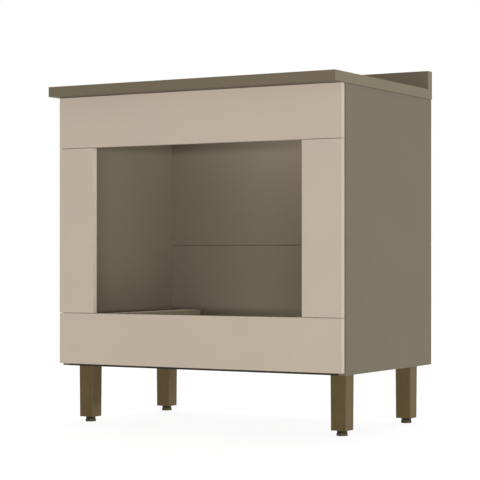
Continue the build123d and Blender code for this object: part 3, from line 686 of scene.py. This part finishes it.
def flutedDowel():
    # straight-fluted dowel, chamfered at both ends
    tree, given = newTree("flutedDowel", {
        "Length": 0.03, "Radius": 0.004, "Flutes": 16, "Flute Depth": 0.0003, "Chamfer": 0.0006})
    rod, at = roundBar(tree, given["Radius"], given["Length"], around=64, rows=40)
    angle = addNode(tree, "ShaderNodeMath", {0: at["Y"], 1: at["X"]}, operation="ARCTAN2")["Value"]
    waves = addNode(tree, "ShaderNodeMath", {0: angle, 1: given["Flutes"]}, operation="MULTIPLY")["Value"]
    waves = addNode(tree, "ShaderNodeMath", {0: waves}, operation="SINE")["Value"]
    sunk = addNode(tree, "ShaderNodeMapRange", {
        "Value": waves, "From Min": -1, "To Max": given["Flute Depth"]})["Result"]
    sunk = addNode(tree, "ShaderNodeMath", {0: sunk, 1: given["Radius"]}, operation="DIVIDE")["Value"]
    share = addNode(tree, "ShaderNodeMath", {0: 1, 1: sunk}, operation="SUBTRACT")["Value"]
    toTop = addNode(tree, "ShaderNodeMath", {0: given["Length"], 1: at["Z"]}, operation="SUBTRACT")["Value"]
    toEnd = addNode(tree, "ShaderNodeMath", {0: at["Z"], 1: toTop}, operation="MINIMUM")["Value"]
    narrow = addNode(tree, "ShaderNodeMath", {
        0: given["Radius"], 1: given["Chamfer"]}, operation="SUBTRACT")["Value"]
    narrow = addNode(tree, "ShaderNodeMath", {0: narrow, 1: given["Radius"]}, operation="DIVIDE")["Value"]
    chamfer = addNode(tree, "ShaderNodeMapRange", {
        "Value": toEnd, "From Max": given["Chamfer"], "To Min": narrow, "To Max": 1})["Result"]
    setOnPlaces(tree, given, takenIn(tree, takenIn(tree, rod, share), chamfer))
    return tree


def threadedStud():
    # threaded stud from its plain lower end at 0 to its chamfered top
    tree, given = newTree("threadedStud", {
        "Length": 0.045, "Shank Radius": 0.00398, "Thread Pitch": 0.00125, "Thread Depth": 0.0007,
        "Ridge Width": 0.5, "Plain Neck": 0.011, "Point Length": 0.0006, "Point Share": 0.86})
    setOnPlaces(tree, given, threadedRod(tree, given, given["Length"], around=24, rowsPerTurn=8))
    return tree


def softSpacer():
    # soft round pad with a rounded rim
    tree, given = newTree("softSpacer", {
        "Thickness": 0.003, "Radius": 0.004, "Rim": 0.18, "Rim Power": 4.0})
    pad, at = roundBar(tree, given["Radius"], given["Thickness"], around=28, rows=8)
    fromMiddle = addNode(tree, "ShaderNodeMapRange", {
        "Value": at["Z"], "From Max": given["Thickness"], "To Min": -1, "To Max": 1})["Result"]
    curve = addNode(tree, "ShaderNodeMath", {
        0: fromMiddle, 1: given["Rim Power"]}, operation="POWER")["Value"]
    curve = addNode(tree, "ShaderNodeMath", {0: curve, 1: given["Rim"]}, operation="MULTIPLY")["Value"]
    share = addNode(tree, "ShaderNodeMath", {0: 1, 1: curve}, operation="SUBTRACT")["Value"]
    setOnPlaces(tree, given, takenIn(tree, pad, share))
    return tree


def separateSolids(node):
    # the corner points of each solid in a CAD node
    shape = mergedShape(node)
    solids, seen = [], set()
    for start in shape.verts:
        if start in seen:
            continue
        seen.add(start)
        waiting, points = [start], []
        while waiting:
            vert = waiting.pop()
            points.append(vert.co.copy())
            for edge in vert.link_edges:
                other = edge.other_vert(vert)
                if other not in seen:
                    seen.add(other)
                    waiting.append(other)
        solids.append(points)
    shape.free()
    return solids


endShare = 0.02             # the part of a solid's length whose points are taken for its end
fastenerSharpAngle = 38


def placeOf(points, flat):
    # where one fastener starts, the way it points and how long it is, from its solid's points: its head is at
    # its wider end, and a flat one points along its thickness
    low = Vector([min(p[i] for p in points) for i in range(3)])
    high = Vector([max(p[i] for p in points) for i in range(3)])
    size = high - low
    order = sorted(range(3), key=lambda i: size[i])
    axis = order[0] if flat else order[2]
    middle = (low + high) / 2

    def reachAt(end):
        near = [p - middle for p in points if abs(p[axis] - end) < size[axis] * endShare]
        return max(math.hypot(*[d[i] for i in range(3) if i != axis]) for d in near)

    headLow = reachAt(low[axis]) >= reachAt(high[axis])
    start = middle.copy()
    start[axis] = low[axis] if headLow else high[axis]
    way = Vector([0.0, 0.0, 0.0])
    way[axis] = 1 if headLow else -1
    return start, way, size[axis]


def setByTree(name, tree, node, values, flat=False):
    # one fastener on each of the node's solids, all made one plain mesh
    places = [placeOf(points, flat) for points in separateSolids(node)]
    mesh = bpy.data.meshes.new(name + "Places")
    mesh.from_pydata([start for start, way, length in places], [], [])
    aim = mesh.attributes.new("aim", "QUATERNION", "POINT")
    for i, (start, way, length) in enumerate(places):
        aim.data[i].value = Vector((0, 0, 1)).rotation_difference(way)
    carrier = addedObject(name + "Places", mesh)
    modifier = carrier.modifiers.new(name, "NODES")
    modifier.node_group = tree
    values = dict(values, Material=finishOf(node))
    values["Thickness" if flat else "Length"] = places[0][2]
    for item in tree.interface.items_tree:
        if item.in_out == "INPUT" and item.name in values:
            modifier[item.identifier] = values[item.name]
    evaluated = carrier.evaluated_get(bpy.context.evaluated_depsgraph_get())
    plain = bpy.data.meshes.new_from_object(evaluated)
    plain.name = name
    plain.shade_smooth()
    plain.set_sharp_from_angle(angle=math.radians(fastenerSharpAngle))
    bpy.data.objects.remove(carrier)
    finished(addedObject(name, plain), node)


shortScrew = {
    "Shank Radius": 1.75 * mm, "Head Radius": 3.3 * mm, "Head Height": 2.0 * mm, "Thread Pitch": 1.6 * mm,
    "Thread Depth": 0.55 * mm, "Plain Neck": 0.5 * mm, "Recess Length": 3.6 * mm, "Recess Width": 0.9 * mm,
    "Recess Depth": 1.0 * mm,
}
longScrew = dict(shortScrew, **{
    "Shank Radius": 2.0 * mm, "Head Radius": 4.0 * mm, "Head Height": 2.6 * mm, "Thread Pitch": 1.8 * mm,
    "Thread Depth": 0.6 * mm, "Plain Neck": 8 * mm})
panScrew = dict(shortScrew, **{"Pan Head": True, "Head Height": 1.9 * mm, "Dome": 0.3})
backNail = {
    "Shank Radius": 0.7 * mm, "Head Radius": 1.6 * mm, "Head Height": 0.5 * mm, "Point Length": 1.4 * mm,
}
woodDowel = {"Radius": 4 * mm}
foamSpacer = {"Radius": 4 * mm}
screwSets = (
    ("worktopScrews", "worktop_screws", longScrew),
    ("upstandScrews", "upstand_screws", longScrew),
    ("ovenRestScrews", "oven_rest_screws", longScrew),
    ("restUprightScrews", "rest_upright_screws", longScrew),
    ("legPlateScrews", "leg_plate_screws", shortScrew),
    ("legScrews", "leg_screws", shortScrew),
    ("bracketScrews", "bracket_screws", panScrew),
    ("joiningPlateScrews", "joining_plate_screws", panScrew),
)
firstSeed = 3
screwTree = woodScrew()
nailTree = panelNail()
dowelTree = flutedDowel()
studTree = threadedStud()
spacerTree = softSpacer()
for seed, (setName, setNode, screwSizes) in enumerate(screwSets, firstSeed):
    setByTree(setName, screwTree, setNode, dict(screwSizes, Seed=seed))
setByTree("backNails", nailTree, "back_nails", dict(backNail, Seed=firstSeed + len(screwSets)))
setByTree("flutedDowels", dowelTree, "dowels", woodDowel)
setByTree("frontSpacers", spacerTree, "front_spacers", foamSpacer, flat=True)
for corner in corners:
    setByTree(corner + "_threadedStud", studTree, corner + "_foot_stud", {})
print("fasteners set")


# Foot pads, turned from their outline: a low disc with a rounded shoulder and a lip round its sole

padOutline = {
    "sole": 12.7 * mm, "shoulderHeight": 4.8 * mm, "topRadius": 12.4 * mm, "lip": 0.3 * mm,
    "socketRadius": 4.05 * mm, "socketFloor": 2.95 * mm, "soleRecess": 0.6 * mm, "soleRing": 2.4 * mm,
    "ringSlope": 0.6 * mm, "around": 72, "sharpAngle": 30,
}


def turnedShape(outline, around, place):
    # outline runs from the axis over the outside and back to the axis, as (radius, height)
    shape = bmesh.new()
    rings = []
    turns = [2 * math.pi * i / around for i in range(around)]
    for radius, height in outline:
        if radius == 0:
            rings.append([shape.verts.new(place + Vector((0, 0, height)))])
        else:
            ring = [Vector((radius * math.cos(t), radius * math.sin(t), height)) for t in turns]
            rings.append([shape.verts.new(place + point) for point in ring])
    for inner, outer in zip(rings, rings[1:]):
        for i in range(around):
            j = (i + 1) % around
            quad = [
                inner[i % len(inner)], inner[j % len(inner)], outer[j % len(outer)], outer[i % len(outer)]]
            shape.faces.new([v for k, v in enumerate(quad) if v not in quad[:k]])
    bmesh.ops.recalc_face_normals(shape, faces=shape.faces)
    return shape


def footPad(node):
    low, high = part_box(node)
    size = padOutline
    radius, top = (high.x - low.x) / 2, high.z - low.z
    lip, shoulder = size["lip"], size["shoulderHeight"]
    ringInside = size["sole"] - size["soleRing"]
    outline = [
        (0, size["soleRecess"]), (ringInside - size["ringSlope"], size["soleRecess"]), (ringInside, 0),
        (size["sole"], 0), (radius - lip, lip / 2), (radius, 2 * lip), (radius, shoulder - 2 * lip),
        (radius - lip / 4, shoulder - lip), (radius - lip, shoulder), (radius - 2 * lip, shoulder + lip),
        (size["topRadius"] + lip, top - 2.5 * lip), (size["topRadius"], top - lip),
        (size["topRadius"] - lip, top - lip / 6), (size["topRadius"] - 2 * lip, top),
        (size["socketRadius"] + lip, top), (size["socketRadius"], top - lip),
        (size["socketRadius"], size["socketFloor"]), (0, size["socketFloor"]),
    ]
    shape = turnedShape(outline, size["around"], Vector(((low.x + high.x) / 2, (low.y + high.y) / 2, low.z)))
    finished(newPiece(node + "_turned", shape, [blackPolypropylene], size["sharpAngle"]), node)


for corner in corners:
    footPad(corner + "_foot_pad")


# Tape over the back's seam: a thin film that lies on the sheets and ripples a little

seamTape = {
    "thickness": 0.12 * mm, "stepsAlong": 160, "stepsAcross": 10, "ripple": 0.05 * mm, "waves": (61, 23),
}


def tapeOverSeam(node):
    low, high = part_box(node)
    short, long = seamTape["waves"]
    shape = bmesh.new()
    grid = []
    for j in range(seamTape["stepsAcross"] + 1):
        row = []
        for i in range(seamTape["stepsAlong"] + 1):
            u, v = i / seamTape["stepsAlong"], j / seamTape["stepsAcross"]
            x, z = low.x + (high.x - low.x) * u, low.z + (high.z - low.z) * v
            wave = math.sin(x * short) * math.sin(x * long + 1) * math.sin(math.pi * v)
            lift = seamTape["ripple"] * (1 + wave)
            row.append(shape.verts.new((x, low.y + seamTape["thickness"] + lift, z)))
        grid.append(row)
    for a, b in zip(grid, grid[1:]):
        for i in range(seamTape["stepsAlong"]):
            shape.faces.new((a[i], b[i], b[i + 1], a[i + 1]))
    piece = newPiece(node + "_film", shape, [finishOf(node)])
    film = piece.modifiers.new("filmThickness", "SOLIDIFY")
    film.thickness = seamTape["thickness"]
    film.offset = -1
    finished(piece, node)


tapeOverSeam("back_seam_tape")

# The two back sheets keep their CAD shape
for sheetNode in ("lower_back_panel", "upper_back_panel"):
    sheet = nodes[sheetNode]
    sheet.data.materials.clear()
    sheet.data.materials.append(finishOf(sheetNode))
print("feet, tape and back done")


# Floor, light and camera: plain pale floor, soft studio light, the photograph's viewing angle. The lamps
# in the niche stand for the light that reaches its walls and its back in the photograph.

studio = {
    "floorSize": 14, "floorColour": "#D6D6D4", "floorGlow": 0.14, "seenFloor": 0.92, "seenFloorShadow": 0.24,
    "room": 0.26, "roomColour": "#FFFFFF",
    "lamps": {
        "keyLamp": {"place": (7.0, -12.12, 0.3), "aim": (0, 0, 0.45), "wide": 4, "high": 0.5, "power": 930},
        "sideLamp": {"place": (12.12, -7.0, 0.3), "aim": (0, 0, 0.45), "wide": 4, "high": 0.5, "power": 300},
        "endLamp": {"place": (14.0, 3.0, 2.0), "aim": (0, 0, 0.45), "wide": 4, "high": 0.5, "power": 700},
        "topLamp": {"place": (0, 2.5, 6.0), "aim": (0, 0.3, 0.8), "wide": 4, "high": 4, "power": 160},
        "rearLamp": {"place": (-7.0, 8.0, 6.0), "aim": (0, 0, 0.45), "wide": 4, "high": 4, "power": 440},
        "nicheSideLamp": {
            "place": (0.2, -0.03, 0.79), "aim": (-0.38, 0.1, 0.4), "wide": 0.2, "high": 0.1, "power": 1.58},
        "nicheTopLamp": {
            "place": (0, -0.12, 0.79), "aim": (0, 0.2, 0.4), "wide": 0.5, "high": 0.06, "power": 0.13},
        "nicheRearLamp": {
            "place": (-0.1, 0.13, 0.795), "aim": (-0.1, 0.27, 0.71), "wide": 0.45, "high": 0.03,
            "power": 0.15},
        "nicheFootLamp": {
            "place": (0, 0.03, 0.17), "aim": (0, 0.031, 1), "wide": 0.45, "high": 0.4, "power": 0.64},
    },
}
cameraView = {
    "place": (2.1472, -3.7304, 0.4167), "heading": 30.0, "focalPixels": 1697.54, "framePixels": 480,
    "horizonRow": 258.45, "sensor": 36.0,
}


def seenDirectly(tree):
    # 1 for what the camera sees, also mirrored in metal or through something clear
    path = addNode(tree, "ShaderNodeLightPath")
    mirrored = addNode(tree, "ShaderNodeMath", {
        0: path["Is Glossy Ray"], 1: path["Is Transmission Ray"]}, operation="MAXIMUM")["Value"]
    return addNode(tree, "ShaderNodeMath", {
        0: path["Is Camera Ray"], 1: mirrored}, operation="MAXIMUM")["Value"]


def studioFloor():
    half = studio["floorSize"] / 2
    mesh = bpy.data.meshes.new("studioFloor")
    rim = [(-half, -half, 0), (half, -half, 0), (half, half, 0), (-half, half, 0)]
    mesh.from_pydata(rim, [], [(0, 1, 2, 3)])
    floor = addedObject("studioFloor", mesh)
    material, tree = newMaterial("paleFloor")
    colour = linearColour(studio["floorColour"])
    shade = tuple(c * studio["seenFloorShadow"] for c in colour[:3]) + (1,)
    # what lights the cabinet from below
    lit = addNode(tree, "ShaderNodeBsdfDiffuse", {"Color": colour})[0]
    under = addNode(tree, "ShaderNodeEmission", {"Strength": studio["floorGlow"]})[0]
    lit = addNode(tree, "ShaderNodeAddShader", {0: lit, 1: under})[0]
    # what the camera sees: nearly white, with a faint shadow
    glow = addNode(tree, "ShaderNodeEmission", {"Strength": studio["seenFloor"]})[0]
    faint = addNode(tree, "ShaderNodeBsdfDiffuse", {"Color": shade})[0]
    seen = addNode(tree, "ShaderNodeAddShader", {0: glow, 1: faint})[0]
    mix = addNode(tree, "ShaderNodeMixShader", {0: seenDirectly(tree), 1: lit, 2: seen})[0]
    addNode(tree, "ShaderNodeOutputMaterial", {"Surface": mix})
    mesh.materials.append(material)


def studioRoom():
    world = bpy.data.worlds.new("studioRoom")
    scene.world = world
    world.use_nodes = True
    tree = world.node_tree
    tree.nodes.clear()
    light = addNode(tree, "ShaderNodeBackground", {
        "Color": linearColour(studio["roomColour"]), "Strength": studio["room"]})[0]
    white = addNode(tree, "ShaderNodeBackground", {"Color": (1, 1, 1, 1), "Strength": 1})[0]
    mix = addNode(tree, "ShaderNodeMixShader", {0: seenDirectly(tree), 1: light, 2: white})[0]
    addNode(tree, "ShaderNodeOutputWorld", {"Surface": mix})


def studioLamps():
    for name, lamp in studio["lamps"].items():
        light = bpy.data.lights.new(name, "AREA")
        light.shape = "RECTANGLE"
        light.size = lamp["wide"]
        light.size_y = lamp["high"]
        light.energy = lamp["power"]
        holder = addedObject(name, light)
        holder.location = lamp["place"]
        towards = Vector(lamp["aim"]) - Vector(lamp["place"])
        holder.rotation_euler = towards.to_track_quat("-Z", "Y").to_euler()
        holder.visible_camera = False


def photographCamera():
    data = bpy.data.cameras.new("photographCamera")
    data.sensor_width = cameraView["sensor"]
    data.lens = cameraView["sensor"] * cameraView["focalPixels"] / cameraView["framePixels"]
    data.shift_y = (cameraView["horizonRow"] - cameraView["framePixels"] / 2) / cameraView["framePixels"]
    camera = addedObject("photographCamera", data)
    camera.location = cameraView["place"]
    camera.rotation_euler = (math.radians(90), 0, math.radians(cameraView["heading"]))
    scene.camera = camera


studioFloor()
studioRoom()
studioLamps()
photographCamera()
scene.view_settings.view_transform = "Standard"
print("floor, light and camera set")
